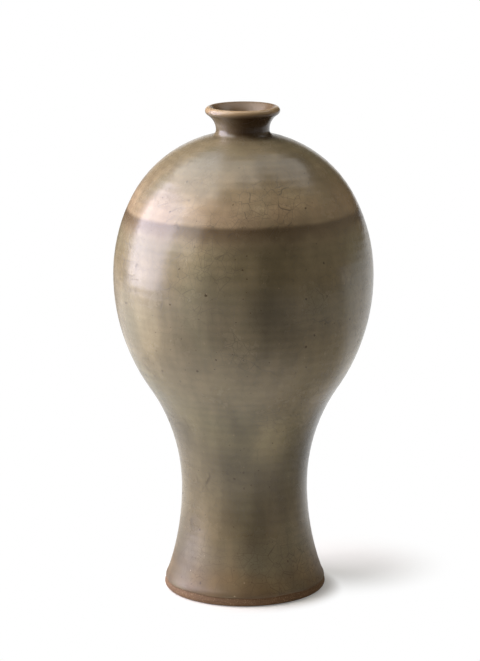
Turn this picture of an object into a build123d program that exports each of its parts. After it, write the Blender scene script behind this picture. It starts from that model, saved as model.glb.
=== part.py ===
"""Meiping vase: a stoneware bottle thrown in four sections, luted with slip and glazed.

Millimetres, +Z up, with the origin at the middle of the standing face.
Every outline is drawn as a half section, with the radius across and the height up.
A depth is a distance into the wall, measured from the outer face of the glaze.
"""
import math
import os

from build123d import *

# Outside of the vase, over the glaze
waist_height = 71.0
waist_radius = 42.9
foot_flare = 14.1  # how far the edge of the foot stands out past the waist
belly_above_waist = 146.0
belly_radius = 87.7
under_belly_arc_radius = 135.0
shoulder_arc_radius = 115.0
shoulder_arc_angle = 27.0  # turn of that arc from the belly to the tighter arc above it, in degrees
upper_shoulder_arc_radius = 82.0
neck_radius = 18.0
neck_root_radius = 3.5  # hollow where the neck stands on the shoulder
mouth_hollow_radius = 12.5  # hollow that flares from the neck out to the lip
mouth_flare_angle = 57.0  # turn of that hollow from the narrowest ring to the lip, in degrees

# Clay and glaze
clay_wall = 4.5
glaze_thickness = 0.6
floor_thickness = 9.0
floor_corner_radius = 9.0

# Foot ring
foot_edge_radius = 3.0
foot_ring_width = 8.0
foot_recess_depth = 5.0
foot_recess_corner_radius = 2.5
bare_foot_height = 6.5  # unglazed band at the outside of the foot
bare_recess_height = 1.5  # unglazed band at the inside of the foot ring

# Luted lap joints
slip_thickness = 0.6
body_lap_height = 10.0
neck_lap_height = 4.0

# Heights and depths that follow from the sizes above
belly_height = waist_height + belly_above_waist
clay_face_depth = glaze_thickness
cavity_depth = clay_face_depth + clay_wall
inner_glaze_depth = cavity_depth + glaze_thickness
floor_height = foot_recess_depth + floor_thickness
lip_radius = clay_wall / 2

# The foot's hollow is upright at the waist and passes through the edge of the foot
foot_hollow_radius = (foot_flare**2 + waist_height**2) / (2 * foot_flare)
foot_centre = Vector(waist_radius + foot_hollow_radius, waist_height)

# The hollow above the waist and the swell below the belly are two arcs that meet without a corner
belly_swell = belly_radius - waist_radius
ogee_radii = (belly_swell**2 + belly_above_waist**2) / (2 * belly_swell)
under_belly_hollow_radius = ogee_radii - under_belly_arc_radius
hollow_centre = Vector(waist_radius + under_belly_hollow_radius, waist_height)
swell_centre = Vector(belly_radius - under_belly_arc_radius, belly_height)

# The shoulder tightens into a second arc, and the two meet without a corner
shoulder_centre = Vector(belly_radius - shoulder_arc_radius, belly_height)
shoulder_angle = math.radians(shoulder_arc_angle)
tightening_direction = Vector(math.cos(shoulder_angle), math.sin(shoulder_angle))
tightening = shoulder_arc_radius - upper_shoulder_arc_radius
upper_shoulder_centre = shoulder_centre + tightening_direction * tightening

# The neck's root runs off the shoulder without a corner, and the mouth flares on from its narrowest ring
root_centre_radius = neck_radius + neck_root_radius
root_centre_reach = upper_shoulder_arc_radius + neck_root_radius
root_centre_rise = math.sqrt(root_centre_reach**2 - (root_centre_radius - upper_shoulder_centre.X) ** 2)
neck_height = upper_shoulder_centre.Y + root_centre_rise
root_centre = Vector(root_centre_radius, neck_height)
mouth_centre = Vector(neck_radius + mouth_hollow_radius, neck_height)

# Directions from the arcs' centres to the points where the arcs meet
ogee_direction = (swell_centre - hollow_centre).normalized()
root_direction = (root_centre - upper_shoulder_centre).normalized()
mouth_angle = math.radians(mouth_flare_angle)
mouth_direction = Vector(-math.cos(mouth_angle), math.sin(mouth_angle))
lip_centre = mouth_centre + mouth_direction * (mouth_hollow_radius + clay_face_depth + lip_radius)
upward = Vector(0, 1)


def arc(centre, start, end):
    """The shorter arc about a centre, from one point to another."""
    to_middle = ((start - centre) + (end - centre)).normalized()
    return ThreePointArc(start, centre + to_middle * (start - centre).length, end)


def foot_point(direction, depth):
    """A point of the foot's hollow in one direction from its centre."""
    return foot_centre + direction * (foot_hollow_radius + depth)


def corner_centre(depth, level, radius):
    """Centre of the round between the foot's hollow at a depth and a level plane below it."""
    height = level + radius
    reach = foot_hollow_radius + depth + radius
    across = math.sqrt(reach**2 - (height - foot_centre.Y) ** 2)
    return Vector(foot_centre.X - across, height)


def wall_line(depth, foot_direction):
    """The wall's arcs at one depth, from the foot up to the start of the lip."""
    foot = foot_point(foot_direction, depth)
    waist = Vector(waist_radius - depth, waist_height)
    ogee = hollow_centre + ogee_direction * (under_belly_hollow_radius + depth)
    belly = Vector(belly_radius - depth, belly_height)
    upper_shoulder = shoulder_centre + tightening_direction * (shoulder_arc_radius - depth)
    root = upper_shoulder_centre + root_direction * (upper_shoulder_arc_radius - depth)
    neck = Vector(neck_radius - depth, neck_height)
    mouth = mouth_centre + mouth_direction * (mouth_hollow_radius + depth)
    return [
        arc(foot_centre, foot, waist),
        arc(hollow_centre, waist, ogee),
        arc(swell_centre, ogee, belly),
        arc(shoulder_centre, belly, upper_shoulder),
        arc(upper_shoulder_centre, upper_shoulder, root),
        arc(root_centre, root, neck),
        arc(mouth_centre, neck, mouth),
    ]


def outer_lip(radius):
    """The lip's arc from the outside of the mouth to its top."""
    return arc(lip_centre, lip_centre - mouth_direction * radius, lip_centre + upward * radius)


def inner_lip(radius):
    """The lip's arc from its top to the inside of the mouth."""
    return arc(lip_centre, lip_centre + upward * radius, lip_centre + mouth_direction * radius)


def lip_top(radius):
    return lip_centre + upward * radius


def turned(outline):
    """The solid that a closed half section makes round the axis."""
    section = Plane.XZ * make_face(outline)
    return revolve(section, axis=Axis.Z)


def cavity_line(depth, level, corner_radius):
    """The inside of the vase at one depth, from the axis over the floor to the inside of the lip."""
    centre = corner_centre(depth, level, corner_radius)
    direction = (centre - foot_centre).normalized()
    corner_start = Vector(centre.X, level)
    corner_end = foot_point(direction, depth)
    floor = Line(Vector(0, level), corner_start)
    return [floor, arc(centre, corner_start, corner_end)] + wall_line(depth, direction)


def recess_line(roof, radius, corner_radius, bottom):
    """The recess under the foot, from the axis over its roof and down its side."""
    centre = Vector(radius - corner_radius, roof - corner_radius)
    corner_start = centre + upward * corner_radius
    corner_end = Vector(radius, centre.Y)
    return [
        Line(Vector(0, roof), corner_start),
        arc(centre, corner_start, corner_end),
        Line(corner_end, Vector(radius, bottom)),
    ]


# Edge of the foot and the recess inside the foot ring
edge_centre = corner_centre(clay_face_depth, 0, foot_edge_radius)
edge_direction = (edge_centre - foot_centre).normalized()
standing_edge = Vector(edge_centre.X, 0)
recess_radius = standing_edge.X - foot_ring_width


def clay_body():
    """All the clay in one piece, before it is parted at the joints."""
    foot_edge = arc(edge_centre, standing_edge, foot_point(edge_direction, clay_face_depth))
    outside = wall_line(clay_face_depth, edge_direction)
    inside = cavity_line(cavity_depth, floor_height, floor_corner_radius)
    recess = recess_line(foot_recess_depth, recess_radius, foot_recess_corner_radius, 0)
    standing_ring = Line(Vector(recess_radius, 0), standing_edge)
    axis_line = Line(Vector(0, foot_recess_depth), Vector(0, floor_height))
    lip = [outer_lip(lip_radius), inner_lip(lip_radius)]
    return turned(recess + [standing_ring, foot_edge] + outside + lip + inside + [axis_line])


def lap_joint(height, outer_radius, lap_height):
    """A stepped ring of slip: it crosses the wall low at the outside and high at the inside."""
    half = slip_thickness / 2
    middle = outer_radius - clay_face_depth - clay_wall / 2
    outside = middle + clay_wall
    inside = middle - clay_wall
    low = height - lap_height / 2
    high = height + lap_height / 2
    step = Polyline(
        (outside, low + half),
        (middle + half, low + half),
        (middle + half, high + half),
        (inside, high + half),
        (inside, high - half),
        (middle - half, high - half),
        (middle - half, low - half),
        (outside, low - half),
        close=True,
    )
    return turned(step.edges())


def outer_glaze():
    """The coat from the bare edge of the foot up to the top of the lip."""
    drop = (bare_foot_height - foot_centre.Y) / foot_hollow_radius
    direction = Vector(-math.sqrt(1 - drop**2), drop)
    glaze_edge = Line(foot_point(direction, 0), foot_point(direction, clay_face_depth))
    coat_lip = lip_radius + glaze_thickness
    lip_seam = Line(lip_top(lip_radius), lip_top(coat_lip))
    outside = wall_line(0, direction) + [outer_lip(coat_lip)]
    backing = wall_line(clay_face_depth, direction) + [outer_lip(lip_radius)]
    return turned(outside + backing + [glaze_edge, lip_seam])


def inner_glaze():
    """The coat from the top of the lip down over the floor."""
    coat_lip = lip_radius + glaze_thickness
    lip_seam = Line(lip_top(lip_radius), lip_top(coat_lip))
    coat_floor = floor_height + glaze_thickness
    coat_corner = floor_corner_radius - glaze_thickness
    backing = cavity_line(cavity_depth, floor_height, floor_corner_radius) + [inner_lip(lip_radius)]
    inside = cavity_line(inner_glaze_depth, coat_floor, coat_corner) + [inner_lip(coat_lip)]
    axis_line = Line(Vector(0, floor_height), Vector(0, coat_floor))
    return turned(backing + inside + [axis_line, lip_seam])


def base_glaze():
    """The coat on the roof and the side of the recess under the foot."""
    coat_roof = foot_recess_depth - glaze_thickness
    coat_radius = recess_radius - glaze_thickness
    coat_corner = foot_recess_corner_radius - glaze_thickness
    backing = recess_line(foot_recess_depth, recess_radius, foot_recess_corner_radius, bare_recess_height)
    face = recess_line(coat_roof, coat_radius, coat_corner, bare_recess_height)
    rim = Line(Vector(coat_radius, bare_recess_height), Vector(recess_radius, bare_recess_height))
    axis_line = Line(Vector(0, coat_roof), Vector(0, foot_recess_depth))
    return turned(backing + face + [rim, axis_line])


# Part the clay at the joints
clay = clay_body()
joint_rings = {
    "waist_slip_joint": lap_joint(waist_height, waist_radius, body_lap_height),
    "belly_slip_joint": lap_joint(belly_height, belly_radius, body_lap_height),
    "neck_slip_joint": lap_joint(neck_height, neck_radius, neck_lap_height),
}
parted_clay = clay
for ring in joint_rings.values():
    parted_clay = parted_clay - ring

# Name the clay sections from the foot upwards
section_names = ["foot_section", "lower_body", "shoulder_section", "mouth_collar"]
sections = parted_clay.solids().sort_by(Axis.Z)
pieces = dict(zip(section_names, sections, strict=True))
for name, ring in joint_rings.items():
    pieces[name] = clay & ring
pieces["outer_glaze"] = outer_glaze()
pieces["inner_glaze"] = inner_glaze()
pieces["base_glaze"] = base_glaze()

os.makedirs("parts", exist_ok=True)
for name, piece in pieces.items():
    export_step(piece, f"parts/{name}.step")
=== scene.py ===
"""Looks of the meiping vase: a thrown stoneware bottle under an olive-brown crackled glaze.

Metres, +Z up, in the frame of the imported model. The camera looks along +Y.
Every outline is a half section, with the radius across and the height up.
A depth is a distance into the wall, measured from the outer face of the glaze.
"""
import math

import bmesh
import bpy
from mathutils import Color, Matrix, Quaternion, Vector


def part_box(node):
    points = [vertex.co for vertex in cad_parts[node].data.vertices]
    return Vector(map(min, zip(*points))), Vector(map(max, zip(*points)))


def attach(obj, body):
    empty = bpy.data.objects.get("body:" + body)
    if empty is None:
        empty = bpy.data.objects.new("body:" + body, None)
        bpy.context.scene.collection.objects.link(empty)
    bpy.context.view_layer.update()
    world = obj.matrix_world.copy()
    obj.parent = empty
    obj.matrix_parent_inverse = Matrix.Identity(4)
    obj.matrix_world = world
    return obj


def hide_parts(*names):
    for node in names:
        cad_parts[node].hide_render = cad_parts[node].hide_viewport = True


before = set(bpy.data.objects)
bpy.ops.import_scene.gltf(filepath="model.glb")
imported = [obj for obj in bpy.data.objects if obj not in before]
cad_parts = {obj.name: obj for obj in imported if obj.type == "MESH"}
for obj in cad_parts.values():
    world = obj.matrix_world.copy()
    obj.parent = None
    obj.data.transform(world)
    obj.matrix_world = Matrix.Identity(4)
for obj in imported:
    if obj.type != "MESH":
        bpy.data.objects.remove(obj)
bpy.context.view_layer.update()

mm = 0.001

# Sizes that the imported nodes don't give by themselves
under_belly_arc_radius = 135.0 * mm
shoulder_arc_radius = 115.0 * mm
shoulder_angle = math.radians(27)  # turn of that arc from the belly to the tighter arc above it
neck_root_radius = 3.5 * mm
floor_corner_radius = 9.0 * mm

# How finely the turned pieces are cut
turns = 200
face_step = 1.2 * mm
inside_step = 2.4 * mm
neck_step = 0.5 * mm
lip_step = 0.25 * mm
hidden_step = 6.0 * mm
sharp_corner = math.radians(40)
seam_gap = 0.001 * mm
same_ring = 0.01 * mm  # points of a node that are this close in height lie on one ring

# The potter's marks
throwing_pitch = 6.5 * mm
throwing_depth = 0.10 * mm
inside_pitch = 9.0 * mm
inside_depth = 0.30 * mm
mark_drift = 2.5  # how many pitches the spiral strays from an even climb
mark_fade = 10.0 * mm
body_wobble = 0.22 * mm
turning_line_pitch = 0.9 * mm

# The glaze above the bare foot
glaze_edge_wander = 3.0 * mm
glaze_bead = 0.30 * mm
glaze_bead_height = 4.0 * mm
thin_glaze_bottom = 15.0 * mm
thin_glaze_top = 60.0 * mm

# Heights and lengths in the glaze's colours
band_tear = 20.0 * mm
shoulder_line_height = 263.0 * mm
shoulder_line_tear = 6.0 * mm
shoulder_line_rise = 2.0 * mm
shoulder_line_core = 1.5 * mm
shoulder_line_tail = 28.0 * mm
dark_neck_fade = 5.0 * mm
pale_lip_start = 5.0 * mm  # below the top of the lip, as the next one is
pale_lip_full = 1.0 * mm

# The belly's colour reaching down over the waist, lower at the front than at the sides: partly a glaze
# run and partly painted shade on the sides of the taper
run_azimuth = 20
run_drop = 50.0 * mm  # how much lower it hangs at the front than at the sides
side_shade_lift = 40.0 * mm  # how far the waist's colour climbs at the sides
run_least_facing = -0.3  # cosine of the angle from the front past which it hangs alike
run_bottom = 60.0 * mm
run_full_from = 105.0 * mm
run_full_to = 150.0 * mm
run_top = 190.0 * mm

# Paler and darker clouds on the wall, partly the glaze's own mottling and partly painted light and shade
# that evens the limbs and dims highlights: azimuth in degrees, height, width and tallness in mm, and
# shade, over 1 if pale
painted_light_and_glaze_clouds = [
    (21, 112, 42, 110, 1.50),
    (-14, 100, 36, 60, 0.88),
    (12, 208, 64, 100, 0.68),
    (72, 108, 76, 120, 0.50),
    (75, 165, 60, 70, 1.30),
    (-58, 128, 60, 80, 0.84),
    (-30, 176, 60, 80, 0.82),
    (-47, 198, 44, 100, 1.30),
    (-25, 238, 70, 80, 1.20),
    (12, 252, 80, 44, 0.76),
    (-61, 273, 40, 44, 0.84),
    (20, 278, 110, 40, 1.30),
    (-32, 303, 44, 34, 0.82),
    (45, 300, 44, 34, 0.84),
    (-66, 34, 60, 90, 0.62),
    (-30, 60, 36, 70, 1.14),
    (10, 45, 34, 110, 0.80),
    (58, 18, 44, 50, 1.30),
]


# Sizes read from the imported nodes
def rings(node):
    """Radius and height of every point of a CAD node."""
    points = [corner.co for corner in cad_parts[node].data.vertices]
    return [(math.hypot(point.x, point.y), point.z) for point in points]


def radius_at(node, height):
    """The largest radius of a CAD node on one of its own rings."""
    return max(radius for radius, level in rings(node) if abs(level - height) < same_ring)


def middle_height(node):
    low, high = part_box(node)
    return (low.z + high.z) / 2


waist_height = middle_height("waist_slip_joint")
belly_height = middle_height("belly_slip_joint")
neck_height = middle_height("neck_slip_joint")
top_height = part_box("outer_glaze")[1].z
waist_radius = radius_at("outer_glaze", waist_height)
belly_radius = radius_at("outer_glaze", belly_height)
neck_radius = radius_at("outer_glaze", neck_height)
glaze_thickness = belly_radius - radius_at("shoulder_section", belly_height)
clay_wall = belly_radius - glaze_thickness - radius_at("inner_glaze", belly_height)
clay_lip = clay_wall / 2
coat_lip = clay_lip + glaze_thickness
glaze_edge = Vector(max(ring for ring in rings("outer_glaze") if ring[1] < waist_height))
floor_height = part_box("inner_glaze")[0].z

# Centres and radii of the outline's arcs, each one tangent to the next
foot_spread = glaze_edge.x - waist_radius
foot_drop = waist_height - glaze_edge.y
foot_hollow_radius = (foot_spread**2 + foot_drop**2) / (2 * foot_spread)
foot_centre = Vector((waist_radius + foot_hollow_radius, waist_height))
belly_swell = belly_radius - waist_radius
belly_rise = belly_height - waist_height
ogee_radii = (belly_swell**2 + belly_rise**2) / (2 * belly_swell)
hollow_radius = ogee_radii - under_belly_arc_radius
hollow_centre = Vector((waist_radius + hollow_radius, waist_height))
swell_centre = Vector((belly_radius - under_belly_arc_radius, belly_height))
shoulder_centre = Vector((belly_radius - shoulder_arc_radius, belly_height))
tightening_direction = Vector((math.cos(shoulder_angle), math.sin(shoulder_angle)))
root_centre = Vector((neck_radius + neck_root_radius, neck_height))
to_root = root_centre - shoulder_centre
root_reach = shoulder_arc_radius + neck_root_radius
root_slack = to_root.dot(tightening_direction) - root_reach
tightening = (to_root.length_squared - root_reach**2) / (2 * root_slack)
upper_shoulder_arc_radius = shoulder_arc_radius - tightening
upper_shoulder_centre = shoulder_centre + tightening_direction * tightening
lip_centre = Vector((radius_at("outer_glaze", top_height), top_height - coat_lip))
lip_spread = lip_centre.x - neck_radius
lip_rise = lip_centre.y - neck_height
mouth_hollow_radius = (lip_spread**2 + lip_rise**2 - coat_lip**2) / (2 * (lip_spread + coat_lip))
mouth_centre = Vector((neck_radius + mouth_hollow_radius, neck_height))

# Directions from the arcs' centres to the points where the arcs meet
glaze_edge_direction = (glaze_edge - foot_centre).normalized()
down_the_foot = Vector((-glaze_edge_direction.y, glaze_edge_direction.x))
ogee_direction = (swell_centre - hollow_centre).normalized()
root_direction = (root_centre - upper_shoulder_centre).normalized()
mouth_direction = (lip_centre - mouth_centre).normalized()
upward = Vector((0, 1))


# Outlines
def arc_line(centre, start, end, step):
    """Points along the shorter arc about a centre, without its last point."""
    first = start - centre
    last = end - centre
    turn = math.atan2(first.cross(last), first.dot(last))
    count = max(2, round(first.length * abs(turn) / step))
    return [centre + Matrix.Rotation(turn * part / count, 2) @ first for part in range(count)]


def straight_line(start, end, step):
    """Points along a straight line, without its last point."""
    count = max(1, round((end - start).length / step))
    return [start.lerp(end, part / count) for part in range(count)]


def wall_line(depth, foot_direction, step):
    """The wall's outline at one depth, from the foot up to the start of the lip."""
    foot = foot_centre + foot_direction * (foot_hollow_radius + depth)
    waist = Vector((waist_radius - depth, waist_height))
    ogee = hollow_centre + ogee_direction * (hollow_radius + depth)
    belly = Vector((belly_radius - depth, belly_height))
    upper_shoulder = shoulder_centre + tightening_direction * (shoulder_arc_radius - depth)
    root = upper_shoulder_centre + root_direction * (upper_shoulder_arc_radius - depth)
    neck = Vector((neck_radius - depth, neck_height))
    mouth = mouth_centre + mouth_direction * (mouth_hollow_radius + depth)
    return (
        arc_line(foot_centre, foot, waist, step)
        + arc_line(hollow_centre, waist, ogee, step)
        + arc_line(swell_centre, ogee, belly, step)
        + arc_line(shoulder_centre, belly, upper_shoulder, step)
        + arc_line(upper_shoulder_centre, upper_shoulder, root, step)
        + arc_line(root_centre, root, neck, neck_step)
        + arc_line(mouth_centre, neck, mouth, neck_step)
    )


def lip_line(radius, side):
    """The lip from one side of the mouth to its top: side is -1 for the outside and 1 for the inside."""
    top = lip_centre + upward * radius
    return arc_line(lip_centre, lip_centre + mouth_direction * side * radius, top, lip_step) + [top]


def cavity_line(depth, level, corner_radius, step):
    """The inside of the vase at one depth, from the axis over the floor to the start of the lip."""
    corner_height = level + corner_radius
    reach = foot_hollow_radius + depth + corner_radius
    across = math.sqrt(reach**2 - (corner_height - foot_centre.y) ** 2)
    centre = Vector((foot_centre.x - across, corner_height))
    direction = (centre - foot_centre).normalized()
    corner_start = Vector((centre.x, level))
    corner_end = centre - direction * corner_radius
    floor = straight_line(Vector((0, level)), corner_start, step)
    corner = arc_line(centre, corner_start, corner_end, step)
    return floor + corner + wall_line(depth, direction, step)


# Node helpers
def put(tree, kind, inputs=None, **settings):
    """Adds a node, fills its inputs with values or links, and gives its first output."""
    made = tree.nodes.new(kind)
    for name, value in settings.items():
        setattr(made, name, value)
    for key, value in (inputs or {}).items():
        if isinstance(key, int):
            socket = made.inputs[key]
        else:
            socket = next(each for each in made.inputs if each.name == key and each.enabled)
        if isinstance(value, bpy.types.NodeSocket):
            tree.links.new(value, socket)
        else:
            socket.default_value = value
    return next((each for each in made.outputs if each.enabled), None)


def sums(tree, operation, *values):
    """A Math node on values or links."""
    return put(tree, "ShaderNodeMath", dict(enumerate(values)), operation=operation)


def vectors(tree, operation, *values):
    """A Vector Math node on vectors or links."""
    return put(tree, "ShaderNodeVectorMath", dict(enumerate(values)), operation=operation)


def scaled(tree, vector, size):
    return put(tree, "ShaderNodeVectorMath", {0: vector, "Scale": size}, operation="SCALE")


def split(tree, vector):
    """The X, Y and Z of a vector, by name."""
    return put(tree, "ShaderNodeSeparateXYZ", {"Vector": vector}).node.outputs


# The potter's wheel
def wheel_tree():
    """Turns a half section round the axis, presses spiral marks into it and lets one edge wander."""
    tree = bpy.data.node_groups.new("potters_wheel", "GeometryNodeTree")
    sockets = {
        "Outline": "NodeSocketGeometry",
        "Turns": "NodeSocketInt",
        "Mark Pitch": "NodeSocketFloat",
        "Mark Depth": "NodeSocketFloat",
        "Wobble Depth": "NodeSocketFloat",
        "Edge Wander": "NodeSocketFloat",
        "Seam Gap": "NodeSocketFloat",
        "Seed": "NodeSocketFloat",
        "Finish": "NodeSocketMaterial",
    }
    for name, kind in sockets.items():
        tree.interface.new_socket(name=name, in_out="INPUT", socket_type=kind)
    tree.interface.new_socket(name="Turned", in_out="OUTPUT", socket_type="NodeSocketGeometry")
    given = tree.nodes.new("NodeGroupInput").outputs

    # A sheet with one row for each point of the outline and one column for each step round the axis
    rows = put(tree, "GeometryNodeAttributeDomainSize", {"Geometry": given["Outline"]}, component="MESH")
    columns = sums(tree, "ADD", given["Turns"], 1)
    size = {"Size X": 1.0, "Size Y": 1.0, "Vertices X": columns, "Vertices Y": rows}
    sheet = put(tree, "GeometryNodeMeshGrid", size)
    position = put(tree, "GeometryNodeInputPosition")
    flat = split(tree, position)
    share = sums(tree, "ADD", flat["X"], 0.5)
    angle = sums(tree, "MULTIPLY", share, math.tau)
    row_share = sums(tree, "ADD", flat["Y"], 0.5)
    row = sums(tree, "ROUND", sums(tree, "MULTIPLY", row_share, sums(tree, "SUBTRACT", rows, 1)))

    def from_outline(field, kind):
        inputs = {"Geometry": given["Outline"], "Value": field, "Index": row}
        return put(tree, "GeometryNodeSampleIndex", inputs, data_type=kind, domain="POINT")

    def from_mark(name, kind):
        field = put(tree, "GeometryNodeInputNamedAttribute", {"Name": name}, data_type=kind)
        return from_outline(field, kind)

    def noise(spot, scale, detail, shift):
        seed = sums(tree, "ADD", given["Seed"], shift)
        inputs = {"Vector": spot, "W": seed, "Scale": scale, "Detail": detail}
        return put(tree, "ShaderNodeTexNoise", inputs, noise_dimensions="4D")

    # Noise is read on a cylinder, so that it closes on itself round the axis
    point = from_outline(position, "FLOAT_VECTOR")
    along = from_mark("along", "FLOAT")
    cosine = sums(tree, "COSINE", angle)
    sine = sums(tree, "SINE", angle)
    barrel_height = 12.0  # for each metre along the outline
    barrel = {"X": cosine, "Y": sine, "Z": sums(tree, "MULTIPLY", along, barrel_height)}
    round_about = put(tree, "ShaderNodeCombineXYZ", barrel)
    straight_up = put(tree, "ShaderNodeCombineXYZ", {"Z": along})
    level_ring = put(tree, "ShaderNodeCombineXYZ", {"X": cosine, "Y": sine})

    # Spiral marks whose pitch and depth drift
    drift = noise(straight_up, scale=30.0, detail=2.0, shift=0.0)
    climb = sums(tree, "ADD", sums(tree, "DIVIDE", along, given["Mark Pitch"]), share)
    phase = sums(tree, "MULTIPLY_ADD", drift, mark_drift, climb)
    wave = sums(tree, "COSINE", sums(tree, "MULTIPLY", phase, math.tau))
    pressure = noise(round_about, scale=1.3, detail=2.0, shift=0.0)
    groove = sums(tree, "MULTIPLY", sums(tree, "MULTIPLY_ADD", wave, 0.5, 0.5), pressure)
    pressed = sums(tree, "MULTIPLY", groove, given["Mark Depth"])
    wobble = noise(round_about, scale=0.6, detail=1.0, shift=7.0)
    worn = sums(tree, "MULTIPLY_ADD", wobble, given["Wobble Depth"], pressed)
    inward = sums(tree, "MULTIPLY", worn, sums(tree, "MULTIPLY", from_mark("throwing", "FLOAT"), -1.0))
    push = scaled(tree, from_mark("outward", "FLOAT_VECTOR"), inward)

    # The coat's edge wanders up and down the foot
    ripple = noise(level_ring, scale=2.2, detail=3.0, shift=3.0)
    swing = sums(tree, "MULTIPLY", sums(tree, "SUBTRACT", ripple, 0.5), given["Edge Wander"])
    slide = scaled(tree, from_mark("hanging", "FLOAT_VECTOR"), swing)

    moved = split(tree, vectors(tree, "ADD", vectors(tree, "ADD", point, push), slide))
    across = sums(tree, "MULTIPLY", moved["X"], cosine)
    deep = sums(tree, "MULTIPLY", moved["X"], sine)
    place = put(tree, "ShaderNodeCombineXYZ", {"X": across, "Y": deep, "Z": moved["Z"]})
    inputs = {"Geometry": sheet, "Name": "groove", "Value": groove}
    marked = put(tree, "GeometryNodeStoreNamedAttribute", inputs, data_type="FLOAT", domain="POINT")
    turned = put(tree, "GeometryNodeSetPosition", {"Geometry": marked, "Position": place})
    closed = put(tree, "GeometryNodeMergeByDistance", {"Geometry": turned, "Distance": given["Seam Gap"]})
    smooth = put(tree, "GeometryNodeSetShadeSmooth", {"Geometry": closed})
    real = put(tree, "GeometryNodeRealizeInstances", {"Geometry": smooth})
    finished = put(tree, "GeometryNodeSetMaterial", {"Geometry": real, "Material": given["Finish"]})
    put(tree, "NodeGroupOutput", {"Turned": finished})
    return tree


def outline_marks(loop):
    """Distances along an outline, and the directions out of it where its inside is on the left."""
    distances = [0.0]
    facing = []
    last = len(loop) - 1
    for place, point in enumerate(loop):
        before = loop[max(place - 1, 0)]
        after = loop[min(place + 1, last)]
        distances.append(distances[-1] + (after - point).length)
        along = (after - before).normalized()
        facing += [along.y, 0, -along.x]
    return distances[:-1], facing


def turn_piece(name, back, face, finish, throwing, hanging, sizes):
    """A piece turned from its plain back and its marked face, which end on the axis or close a ring."""
    outline = back + face
    on_axis = outline[0].x == 0
    loop = outline if on_axis else outline + outline[:1]
    mesh = bpy.data.meshes.new(name + "_outline")
    mesh.from_pydata([(point.x, 0, point.y) for point in loop], [], [])
    distances, facing = outline_marks(loop)
    pressed = [0.0] * len(back) + [throwing(point) for point in face]
    pressed += [0.0] * (len(loop) - len(outline))
    slides = [down_the_foot * hanging(point) for point in loop]
    sliding = [part for slide in slides for part in (slide.x, 0, slide.y)]
    mesh.attributes.new("along", "FLOAT", "POINT").data.foreach_set("value", distances)
    mesh.attributes.new("throwing", "FLOAT", "POINT").data.foreach_set("value", pressed)
    mesh.attributes.new("outward", "FLOAT_VECTOR", "POINT").data.foreach_set("vector", facing)
    mesh.attributes.new("hanging", "FLOAT_VECTOR", "POINT").data.foreach_set("vector", sliding)
    section = bpy.data.objects.new(name + "_outline", mesh)
    bpy.context.scene.collection.objects.link(section)
    wheel = section.modifiers.new("wheel", "NODES")
    wheel.node_group = potters_wheel
    items = potters_wheel.interface.items_tree
    identifiers = {item.name: item.identifier for item in items if item.in_out == "INPUT"}
    sizes = {"Turns": turns, "Seam Gap": seam_gap, "Finish": finish, **sizes}
    for socket, value in sizes.items():
        wheel[identifiers[socket]] = value
    bpy.context.view_layer.update()
    evaluated = section.evaluated_get(bpy.context.evaluated_depsgraph_get())
    turned = bpy.data.meshes.new_from_object(evaluated)
    turned.materials.pop(index=0)  # the empty slot that the sheet starts with
    bpy.data.objects.remove(section)
    bpy.data.meshes.remove(mesh)

    skin = bmesh.new()
    skin.from_mesh(turned)
    bmesh.ops.recalc_face_normals(skin, faces=skin.faces)
    skin.to_mesh(turned)
    skin.free()
    turned.set_sharp_from_angle(angle=sharp_corner)
    piece = bpy.data.objects.new(name, turned)
    bpy.context.scene.collection.objects.link(piece)
    return piece


# Finishes
def paint(red, green, blue):
    """A colour given in the 0 to 255 of a colour picker, as the shaders want it."""
    return (*Color((red / 255, green / 255, blue / 255)).from_srgb_to_scene_linear(), 1.0)


def new_finish(name):
    """A material with its tree, its shader and the place on the piece that its patterns read."""
    finish = bpy.data.materials.new(name)
    finish.use_nodes = True
    tree = finish.node_tree
    spot = tree.nodes.new("ShaderNodeTexCoord").outputs["Object"]
    return finish, tree, tree.nodes["Principled BSDF"], spot


def cloud(tree, spot, scale, detail=2.0, roughness=0.5):
    """Soft noise, with spots about one metre over the scale across."""
    inputs = {"Vector": spot, "Scale": scale, "Detail": detail, "Roughness": roughness}
    return put(tree, "ShaderNodeTexNoise", inputs)


def fade(tree, value, start, end, low=0.0, high=1.0):
    """Runs smoothly from low at the start to high at the end."""
    inputs = {"Value": value, "From Min": start, "From Max": end, "To Min": low, "To Max": high}
    return put(tree, "ShaderNodeMapRange", inputs, interpolation_type="SMOOTHSTEP")


def coat(tree, share, under, over, mode="MIX"):
    """One colour laid over another."""
    inputs = {"Factor": share, "A": under, "B": over}
    return put(tree, "ShaderNodeMix", inputs, data_type="RGBA", blend_type=mode)


def shaded(tree, colour, shade):
    """A colour made lighter or darker by a factor."""
    return coat(tree, 1.0, colour, shade, "MULTIPLY")


def stained(tree, colour, place, stain, strength):
    """A colour with a stain on it where the place is 1."""
    return coat(tree, sums(tree, "MULTIPLY", place, strength), colour, stain)


def cells(tree, spot, scale, feature, output="Distance"):
    """Voronoi cells, about one metre over the scale across."""
    inputs = {"Vector": spot, "Scale": scale}
    return put(tree, "ShaderNodeTexVoronoi", inputs, feature=feature).node.outputs[output]


def bands(tree, height, stops):
    """Colours that follow the height, from pairs of a height and a colour."""
    share = sums(tree, "DIVIDE", height, top_height)
    shade = put(tree, "ShaderNodeValToRGB", {"Fac": share})
    ramp = shade.node.color_ramp
    ramp.interpolation = "EASE"
    while len(ramp.elements) < len(stops):
        ramp.elements.new(1.0)
    for element, (level, colour) in zip(ramp.elements, stops, strict=True):
        element.position = level / top_height
        element.color = colour
    return shade


def strayed(tree, spot, scale, ripples, reach):
    """The place on the piece, moved about by noise: its ripples in each cell, and its reach in cells."""
    noise = put(tree, "ShaderNodeTexNoise", {"Vector": spot, "Scale": scale * ripples})
    return vectors(tree, "MULTIPLY_ADD", noise.node.outputs["Color"], (reach / scale,) * 3, spot)


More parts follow.
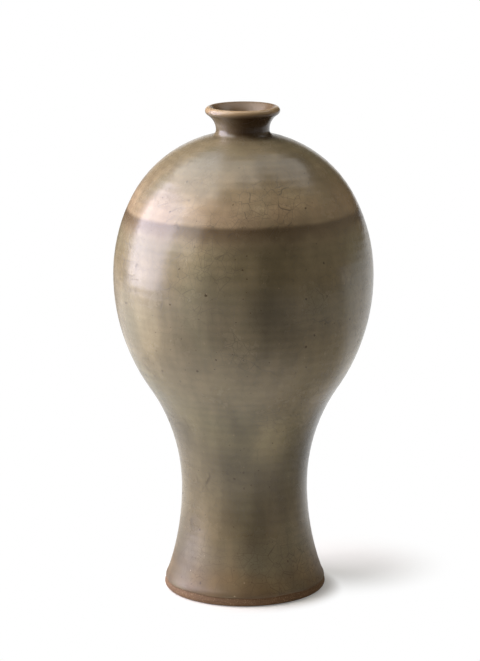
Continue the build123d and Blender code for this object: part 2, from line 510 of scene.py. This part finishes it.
def specks(tree, spot, scale, share, size):
    """Uneven dots in a share of the cells, their size in cells: 1 in a dot and 0 outside it."""
    ragged = strayed(tree, spot, scale, ripples=4, reach=0.3)
    chance = split(tree, cells(tree, ragged, scale, "F1", "Color"))
    chosen = sums(tree, "LESS_THAN", chance["X"], share)
    smallest = 0.35 * size
    reach = sums(tree, "MULTIPLY_ADD", chance["Y"], size, smallest)
    from_middle = sums(tree, "DIVIDE", cells(tree, ragged, scale, "F1"), reach)
    dot = fade(tree, from_middle, start=1.0, end=0.5)
    return sums(tree, "MULTIPLY", chosen, dot)


def crackle(tree, spot, scale, width):
    """A net of hairlines between cells: 1 in a line and 0 outside it."""
    bent = strayed(tree, spot, scale, ripples=0.6, reach=0.35)
    edge = cells(tree, bent, scale, "DISTANCE_TO_EDGE")
    width_in_cells = width * scale
    return fade(tree, edge, start=width_in_cells, end=width_in_cells * 0.3)


def background_rays(tree, extent):
    """1 for rays that see the white background: the camera's, and in the extent those off the object."""
    path = tree.nodes.new("ShaderNodeLightPath").outputs
    off_object = sums(tree, "MAXIMUM", path["Is Glossy Ray"], path["Is Transmission Ray"])
    return sums(tree, "MAXIMUM", path["Is Camera Ray"], sums(tree, "MULTIPLY", off_object, extent))


def soft_spot(tree, spot, azimuth, height, width, tall):
    """1 in the middle of an oval place on the wall and 0 from its edge; azimuth 0 faces the camera."""
    turn = math.radians(azimuth)
    wall = wall_line(0, glaze_edge_direction, face_step)
    radius = min(wall, key=lambda point: abs(point.y - height)).x
    middle = (radius * math.sin(turn), -radius * math.cos(turn), height)
    away = vectors(tree, "SUBTRACT", spot, middle)
    oval = vectors(tree, "MULTIPLY", away, (2 / width, 2 / width, 2 / tall))
    return fade(tree, vectors(tree, "LENGTH", oval).node.outputs["Value"], start=1.0, end=0.0)


# The glaze outside
def glaze_bands(tree, height):
    """The glaze's colours from the foot, where it is thin and brown, up to the neck."""
    stops = [
        (6 * mm, paint(96, 76, 49)),
        (16 * mm, paint(112, 93, 63)),
        (32 * mm, paint(118, 105, 79)),
        (85 * mm, paint(109, 100, 77)),
        (120 * mm, paint(123, 114, 86)),
        (155 * mm, paint(139, 128, 101)),
        (205 * mm, paint(141, 130, 105)),
        (245 * mm, paint(133, 120, 92)),
        (270 * mm, paint(157, 135, 106)),
        (288 * mm, paint(134, 118, 91)),
        (299 * mm, paint(120, 107, 82)),
    ]
    return bands(tree, height, stops)


def run_and_side_shade(tree, spot, height):
    """How far the bands are moved: the belly's colour hangs lower at the front than at the sides, partly
    as a run and partly as painted shade on the taper's sides.
    """
    turn = math.radians(run_azimuth)
    front = (math.sin(turn), -math.cos(turn), 0)
    level = vectors(tree, "NORMALIZE", vectors(tree, "MULTIPLY", spot, (1, 1, 0)))
    facing = vectors(tree, "DOT_PRODUCT", level, front).node.outputs["Value"]
    facing = sums(tree, "MAXIMUM", facing, run_least_facing)
    drop = sums(tree, "MULTIPLY_ADD", facing, run_drop, -side_shade_lift)
    above = fade(tree, height, run_bottom, run_full_from)
    below = fade(tree, height, run_top, run_full_to)
    return sums(tree, "MULTIPLY", drop, sums(tree, "MULTIPLY", above, below))


def mottled(tree, spot, colour, runs):
    """A colour with small clouds, olive patches, long runs and glaze pooled in the throwing marks."""
    mottle = cloud(tree, spot, 34.0, detail=5.0, roughness=0.6)
    colour = shaded(tree, colour, fade(tree, mottle, 0.25, 0.75, low=1.16, high=0.84))
    elsewhere = vectors(tree, "ADD", spot, (0.7, 0.2, 0.4))
    olive = fade(tree, cloud(tree, elsewhere, 22.0, detail=4.0), 0.45, 0.75, high=0.45)
    colour = coat(tree, olive, colour, paint(122, 120, 96))
    colour = shaded(tree, colour, fade(tree, runs, 0.3, 0.7, low=0.93, high=1.1))
    groove = put(tree, "ShaderNodeAttribute", attribute_name="groove").node.outputs["Fac"]
    return shaded(tree, colour, fade(tree, groove, 0.0, 0.7, low=1.03, high=0.94))


def shoulder_line(tree, height, tear, runs):
    """1 in a dark line round the shoulder, fading downward in streaks below it."""
    level = sums(tree, "MULTIPLY_ADD", tear, shoulder_line_tear, height)
    below_line = sums(tree, "SUBTRACT", shoulder_line_height, level)
    tail = sums(tree, "MULTIPLY", runs, shoulder_line_tail)
    begun = fade(tree, below_line, -shoulder_line_rise, shoulder_line_core)
    ended = fade(tree, below_line, tail, shoulder_line_core)
    return sums(tree, "MULTIPLY", begun, ended)


def glaze_finish():
    """Olive-brown glaze: bands of colour, clouds and runs with some painted light and shade, crackle,
    iron specks and a brown mouth.
    """
    finish, tree, shader, spot = new_finish("olive_brown_glaze")
    height = split(tree, spot)["Z"]
    stretched = put(tree, "ShaderNodeMapping", {"Vector": spot, "Scale": (1, 1, 0.1)})
    runs = cloud(tree, stretched, 110.0, detail=3.0)

    # The bands follow the height, but their edges are torn by clouds
    tear = sums(tree, "SUBTRACT", cloud(tree, spot, 14.0, detail=4.0), 0.5)
    moved = sums(tree, "ADD", height, run_and_side_shade(tree, spot, height))
    torn = sums(tree, "MULTIPLY_ADD", tear, band_tear, moved)
    colour = mottled(tree, spot, glaze_bands(tree, torn), runs)
    line = shoulder_line(tree, height, tear, runs)
    colour = stained(tree, colour, line, paint(82, 65, 45), strength=0.72)
    # Paler and darker clouds, partly glaze mottling and partly painted light and shade
    for azimuth, middle, width, tall, shade in painted_light_and_glaze_clouds:
        place = soft_spot(tree, spot, azimuth, middle * mm, width * mm, tall * mm)
        colour = shaded(tree, colour, fade(tree, place, 0.0, 1.0, low=1.0, high=shade))

    # The neck is dark brown, partly its glaze and partly painted shade under the lip, and darker at its
    # right as painted shade; the lip is paler, partly thin glaze and partly a painted highlight
    painted_shade_right = fade(tree, split(tree, spot)["X"], -neck_radius, 0.2 * neck_radius, low=0.2, high=1.0)
    on_neck = fade(tree, torn, neck_height - dark_neck_fade, neck_height)
    colour = coat(tree, sums(tree, "MULTIPLY", on_neck, painted_shade_right), colour, paint(76, 57, 38))
    on_lip = fade(tree, height, top_height - pale_lip_start, top_height - pale_lip_full, high=0.9)
    colour = coat(tree, on_lip, colour, paint(170, 143, 108))

    # Crackle, iron specks and pinholes
    wide_net = crackle(tree, spot, 110.0, width=0.16 * mm)
    fine_net = crackle(tree, spot, 260.0, width=0.09 * mm)
    patch = fade(tree, cloud(tree, spot, 24.0), 0.35, 0.65, low=0.15, high=0.6)
    hairlines = sums(tree, "MULTIPLY", sums(tree, "MAXIMUM", wide_net, fine_net), patch)
    colour = coat(tree, hairlines, colour, paint(64, 52, 38))
    large_iron = specks(tree, spot, 170.0, share=0.12, size=0.16)
    small_iron = specks(tree, spot, 420.0, share=0.1, size=0.2)
    iron = sums(tree, "MAXIMUM", large_iron, small_iron)
    colour = stained(tree, colour, iron, paint(58, 40, 26), strength=0.75)
    between_specks = vectors(tree, "ADD", spot, (0.31, 0.17, 0.53))
    pits = specks(tree, between_specks, 300.0, share=0.05, size=0.15)
    colour = stained(tree, colour, pits, paint(176, 158, 130), strength=0.6)
    tree.links.new(colour, shader.inputs["Base Color"])

    # The gloss is uneven, and duller in the hairlines and where the glaze is thin above the foot
    gloss = fade(tree, cloud(tree, spot, 45.0, detail=4.0, roughness=0.6), 0.3, 0.75, low=0.19, high=0.3)
    thin = fade(tree, height, thin_glaze_top, thin_glaze_bottom, high=0.25)
    dull = sums(tree, "MULTIPLY_ADD", hairlines, 0.25, thin)
    tree.links.new(sums(tree, "ADD", gloss, dull), shader.inputs["Roughness"])

    # A slightly uneven skin, with fine cracks and pits in it
    skin = cloud(tree, spot, 420.0)
    dents = sums(tree, "ADD", sums(tree, "MULTIPLY", hairlines, 0.4), pits)
    relief = sums(tree, "SUBTRACT", sums(tree, "MULTIPLY", skin, 0.35), dents)
    bump = put(tree, "ShaderNodeBump", {"Strength": 0.25, "Distance": 0.15 * mm, "Height": relief})
    tree.links.new(bump, shader.inputs["Normal"])
    return finish


# The other finishes
def thin_glaze_finish():
    """Thin brown glaze of the inside and of the base: streaky, with the clay showing through."""
    finish, tree, shader, spot = new_finish("thin_brown_glaze")
    streaks = cloud(tree, spot, 40.0, detail=5.0, roughness=0.6)
    colour = coat(tree, streaks, paint(86, 66, 46), paint(128, 104, 76))
    iron = specks(tree, spot, 240.0, share=0.15, size=0.2)
    colour = stained(tree, colour, iron, paint(52, 36, 24), strength=0.7)
    tree.links.new(colour, shader.inputs["Base Color"])
    gloss = fade(tree, cloud(tree, spot, 60.0, detail=3.0), 0.3, 0.7, low=0.25, high=0.5)
    tree.links.new(gloss, shader.inputs["Roughness"])
    skin = cloud(tree, spot, 260.0, detail=3.0)
    bump = put(tree, "ShaderNodeBump", {"Strength": 0.2, "Distance": 0.2 * mm, "Height": skin})
    tree.links.new(bump, shader.inputs["Normal"])
    return finish


def clay_finish(name, pale, dark):
    """Bare fired clay: grit, iron spots and fine turning lines."""
    finish, tree, shader, spot = new_finish(name)
    height = split(tree, spot)["Z"]
    colour = coat(tree, cloud(tree, spot, 50.0, detail=6.0, roughness=0.65), dark, pale)
    grit = cloud(tree, spot, 1400.0)
    colour = coat(tree, fade(tree, grit, 0.55, 0.7, high=0.4), colour, paint(186, 160, 124))
    iron = specks(tree, spot, 380.0, share=0.2, size=0.25)
    colour = stained(tree, colour, iron, paint(54, 34, 22), strength=0.8)
    tree.links.new(colour, shader.inputs["Base Color"])
    shader.inputs["Roughness"].default_value = 0.82
    lines = sums(tree, "SINE", sums(tree, "MULTIPLY", height, math.tau / turning_line_pitch))
    relief = sums(tree, "MULTIPLY_ADD", lines, 0.15, grit)
    bump = put(tree, "ShaderNodeBump", {"Strength": 0.6, "Distance": 0.25 * mm, "Height": relief})
    tree.links.new(bump, shader.inputs["Normal"])
    return finish


glaze = glaze_finish()
thin_glaze = thin_glaze_finish()
stoneware = clay_finish("bare_stoneware", paint(122, 92, 61), paint(80, 58, 38))
slip = clay_finish("fired_slip", paint(164, 134, 100), paint(126, 98, 70))
potters_wheel = wheel_tree()


# The coat outside, from the bare foot up to the top of the lip
def outside_marks(point):
    """How strongly the marks are pressed: they fade out at the lip and at the coat's edge."""
    below_lip = (lip_centre.y - point.y) / mark_fade
    above_edge = (point.y - glaze_edge.y) / mark_fade
    return min(1.0, max(0.0, min(below_lip, above_edge)))


def edge_share(point):
    """How much of the wander a point follows: all of it at the coat's edge, none of it above."""
    return min(1.0, max(0.0, 1 - (point.y - glaze_edge.y) / mark_fade))


def with_bead(point):
    """The coat's face, thickened where the glaze ran down and gathered above the bare foot."""
    nearness = max(0.0, 1 - (point.y - glaze_edge.y) / glaze_bead_height)
    swollen = glaze_bead * 4 * nearness * (1 - nearness)
    return point - (point - foot_centre).normalized() * swollen if point.y < waist_height else point


glaze_back = glaze_edge + glaze_edge_direction * glaze_thickness
edge_middle = (glaze_edge + glaze_back) / 2
edge_bottom = edge_middle + down_the_foot * glaze_thickness / 2
edge_roll = arc_line(edge_middle, glaze_back, edge_bottom, lip_step)
edge_roll += arc_line(edge_middle, edge_bottom, glaze_edge, lip_step)
outside = [with_bead(point) for point in wall_line(0, glaze_edge_direction, face_step)]
outside += lip_line(coat_lip, -1)
backing = wall_line(glaze_thickness, glaze_edge_direction, hidden_step) + lip_line(clay_lip, -1)
outer_coat = turn_piece(
    "outer_glaze_coat",
    backing[:0:-1],
    edge_roll + outside,
    glaze,
    outside_marks,
    edge_share,
    {
        "Mark Pitch": throwing_pitch,
        "Mark Depth": throwing_depth,
        "Wobble Depth": body_wobble,
        "Edge Wander": glaze_edge_wander,
        "Seed": 11.0,
    },
)
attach(outer_coat, "root")
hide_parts("outer_glaze")


# The coat inside, from the top of the lip down over the floor
def inside_marks(point):
    """How strongly the marks are pressed: they fade out in the neck and at the middle of the floor."""
    below_neck = (neck_height - point.y) / mark_fade
    off_axis = point.x / mark_fade
    return min(1.0, max(0.0, min(below_neck, off_axis)))


clay_inside_depth = glaze_thickness + clay_wall
coat_inside_depth = clay_inside_depth + glaze_thickness
coat_floor = floor_height + glaze_thickness
coat_corner = floor_corner_radius - glaze_thickness
inside = cavity_line(coat_inside_depth, coat_floor, coat_corner, inside_step)
inside += lip_line(coat_lip, 1)
backing = cavity_line(clay_inside_depth, floor_height, floor_corner_radius, hidden_step)
backing += lip_line(clay_lip, 1)
inner_coat = turn_piece(
    "inner_glaze_coat",
    backing,
    inside[::-1],
    thin_glaze,
    inside_marks,
    lambda point: 0.0,
    {
        "Mark Pitch": inside_pitch,
        "Mark Depth": inside_depth,
        "Wobble Depth": 0.0,
        "Edge Wander": 0.0,
        "Seed": 5.0,
    },
)
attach(inner_coat, "root")
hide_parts("inner_glaze")

# The CAD pieces that stay
finishes = {
    "foot_section": stoneware,
    "lower_body": stoneware,
    "shoulder_section": stoneware,
    "mouth_collar": stoneware,
    "waist_slip_joint": slip,
    "belly_slip_joint": slip,
    "neck_slip_joint": slip,
    "base_glaze": thin_glaze,
}
for name, finish in finishes.items():
    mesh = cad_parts[name].data
    mesh.materials.clear()
    mesh.materials.append(finish)


# The white table, with places in metres from the middle of the vase
table_radius = 6.0
table_sides = 64
paper_colour = (0.9, 0.87, 0.8, 1)
pure_white = (1, 1, 1, 1)
sheet_full = 0.15
sheet_rim = 0.35
table_side_start = 0.15
table_side_end = 0.7
# Painted light on the paper off the sheet: its level in front and behind, at the left and at the right
dim_level = 0.25
left_level = 0.35
right_level = 1.0
contact_reach = 1.35  # in radii of the foot
contact_white = 0.2
shadow_middle = (0.068, 0.045, 0)
shadow_core = 0.015
shadow_rim = 0.08
shadow_white = 0.42
lit_side = (0.10, -0.05)  # each pair gives where a part of the table starts and where it is full
right_part = (-0.05, 0.1)
near_part = (0.75, 0.5)
behind_vase = (0.05, 0.2)


def table_finish():
    """White paper: pure white to the camera outside the vase's shadow, and in part to the glaze."""
    paper = bpy.data.materials.new("white_table")
    paper.use_nodes = True
    tree = paper.node_tree
    tree.nodes.clear()
    spot = tree.nodes.new("ShaderNodeTexCoord").outputs["Object"]
    distance = vectors(tree, "LENGTH", spot).node.outputs["Value"]
    across = split(tree, spot)["X"]
    deep = split(tree, spot)["Y"]

    # Painted light on the paper: it is light on a sheet round the vase and far to the right, and dim
    # elsewhere, which sets the light that the table throws back onto the vase
    painted_light_sheet = fade(tree, distance, sheet_rim, sheet_full)
    right = fade(tree, across, table_side_start, table_side_end, dim_level, right_level)
    left = fade(tree, across, -table_side_start, -table_side_end, dim_level, left_level)
    side = sums(tree, "MAXIMUM", right, left)
    level = sums(tree, "MULTIPLY_ADD", painted_light_sheet, sums(tree, "SUBTRACT", 1.0, side), side)
    lit = put(tree, "ShaderNodeBsdfDiffuse", {"Color": shaded(tree, paper_colour, level)})
    white = put(tree, "ShaderNodeEmission", {"Color": pure_white, "Strength": 1.0})

    # Painted shadow: white is taken away close round the foot and at a set spot right behind it, where
    # the lit paper's shading shows through
    contact = fade(tree, distance, glaze_edge.x, contact_reach * glaze_edge.x, contact_white, 1.0)
    from_shadow = vectors(tree, "DISTANCE", spot, shadow_middle).node.outputs["Value"]
    cast = fade(tree, from_shadow, shadow_core, shadow_rim, shadow_white, 1.0)
    share = sums(tree, "MINIMUM", contact, cast)

    # Painted reflection: the table glows white to the glaze on the sheet at the left and on the table
    # behind the vase
    painted_reflection_left = sums(tree, "MULTIPLY", painted_light_sheet, fade(tree, across, *lit_side))
    near_or_right = sums(tree, "MAXIMUM", fade(tree, across, *right_part), fade(tree, deep, *near_part))
    behind = sums(tree, "MULTIPLY", near_or_right, fade(tree, deep, *behind_vase))
    reflected = sums(tree, "MAXIMUM", painted_reflection_left, behind)
    seen = sums(tree, "MULTIPLY", share, background_rays(tree, reflected))
    surface = put(tree, "ShaderNodeMixShader", {0: seen, 1: lit, 2: white})
    put(tree, "ShaderNodeOutputMaterial", {"Surface": surface})
    return paper


table_mesh = bpy.data.meshes.new("table")
disc = bmesh.new()
bmesh.ops.create_circle(disc, cap_ends=True, segments=table_sides, radius=table_radius)
disc.to_mesh(table_mesh)
disc.free()
table_mesh.materials.append(table_finish())
table = bpy.data.objects.new("table", table_mesh)
bpy.context.scene.collection.objects.link(table)

# The studio
vase_middle = Vector((0, 0, top_height / 2))
lamp_distance = 1.2
wall_level = 0.48
room_level = 0.04
wall_tint = (1.0, 0.86, 0.64, 1)
wall_start = 0.5  # how far to the side a ray points where the walls start, and where they are full
wall_full = 0.95
backdrop_rim = 0.94  # how straight back a ray points at the rim of the white backdrop, and in it
backdrop_full = 0.99
daylight = (1.0, 0.96, 1.16)


def studio_world():
    """Pale walls at the sides, dim elsewhere, and white to the camera."""
    world = bpy.data.worlds.new("studio")
    world.use_nodes = True
    tree = world.node_tree
    tree.nodes.clear()
    direction = split(tree, tree.nodes.new("ShaderNodeTexCoord").outputs["Generated"])
    backdrop = fade(tree, direction["Y"], backdrop_rim, backdrop_full)
    seen = background_rays(tree, backdrop)
    sideways = sums(tree, "ABSOLUTE", direction["X"])
    walls = fade(tree, sideways, wall_start, wall_full, room_level, wall_level)
    level = sums(tree, "MAXIMUM", walls, seen)
    tint = coat(tree, seen, wall_tint, pure_white)
    sky = put(tree, "ShaderNodeBackground", {"Color": tint, "Strength": level})
    put(tree, "ShaderNodeOutputWorld", {"Surface": sky})
    return world


def softbox(name, azimuth, elevation, width, height, radiance, tint=(1, 1, 1)):
    """A soft lamp that faces the middle of the vase; azimuth 0 is in front and 90 on the left."""
    lamp = bpy.data.lights.new(name, "AREA")
    lamp.shape = "RECTANGLE"
    lamp.size = width
    lamp.size_y = height
    lamp.energy = radiance * math.pi * width * height
    lamp.color = tint
    stand = bpy.data.objects.new(name, lamp)
    turn = math.radians(azimuth)
    rise = math.radians(elevation)
    outward = math.cos(rise)
    toward = Vector((-math.sin(turn) * outward, -math.cos(turn) * outward, math.sin(rise)))
    stand.location = vase_middle + toward * lamp_distance
    stand.rotation_euler = (-toward).to_track_quat("-Z", "Y").to_euler()
    bpy.context.scene.collection.objects.link(stand)


bpy.context.scene.world = studio_world()
softbox("left_softbox", 95, 17, width=1.0, height=1.25, radiance=6.7, tint=daylight)
softbox("upper_left_softbox", 100, 60, width=1.2, height=0.62, radiance=4.2)
softbox("overhead_softbox", 90, 88, width=0.62, height=0.62, radiance=2.0)
softbox("front_left_softbox", 60, 30, width=0.62, height=0.62, radiance=3.0)
softbox("right_back_softbox", 240, 60, width=0.62, height=0.62, radiance=1.5)

# The camera, with the photograph's frame in pixels
frame_height = 661
focal_pixels = 2955
camera_distance = 2.0
camera_elevation = math.radians(13)
camera_roll = math.radians(-0.3)
aim = Vector((-0.0025, 0, 0.1782))
look_from = Vector((0, -math.cos(camera_elevation), math.sin(camera_elevation)))
lens = bpy.data.cameras.new("camera")
lens.sensor_width = 36
lens.lens = focal_pixels / frame_height * lens.sensor_width
camera = bpy.data.objects.new("camera", lens)
bpy.context.scene.collection.objects.link(camera)
camera.location = vase_middle + camera_distance * look_from
level_view = (aim - camera.location).to_track_quat("-Z", "Y")
camera.rotation_euler = (level_view @ Quaternion((0, 0, 1), camera_roll)).to_euler()
bpy.context.scene.camera = camera
bpy.context.scene.view_settings.view_transform = "Standard"
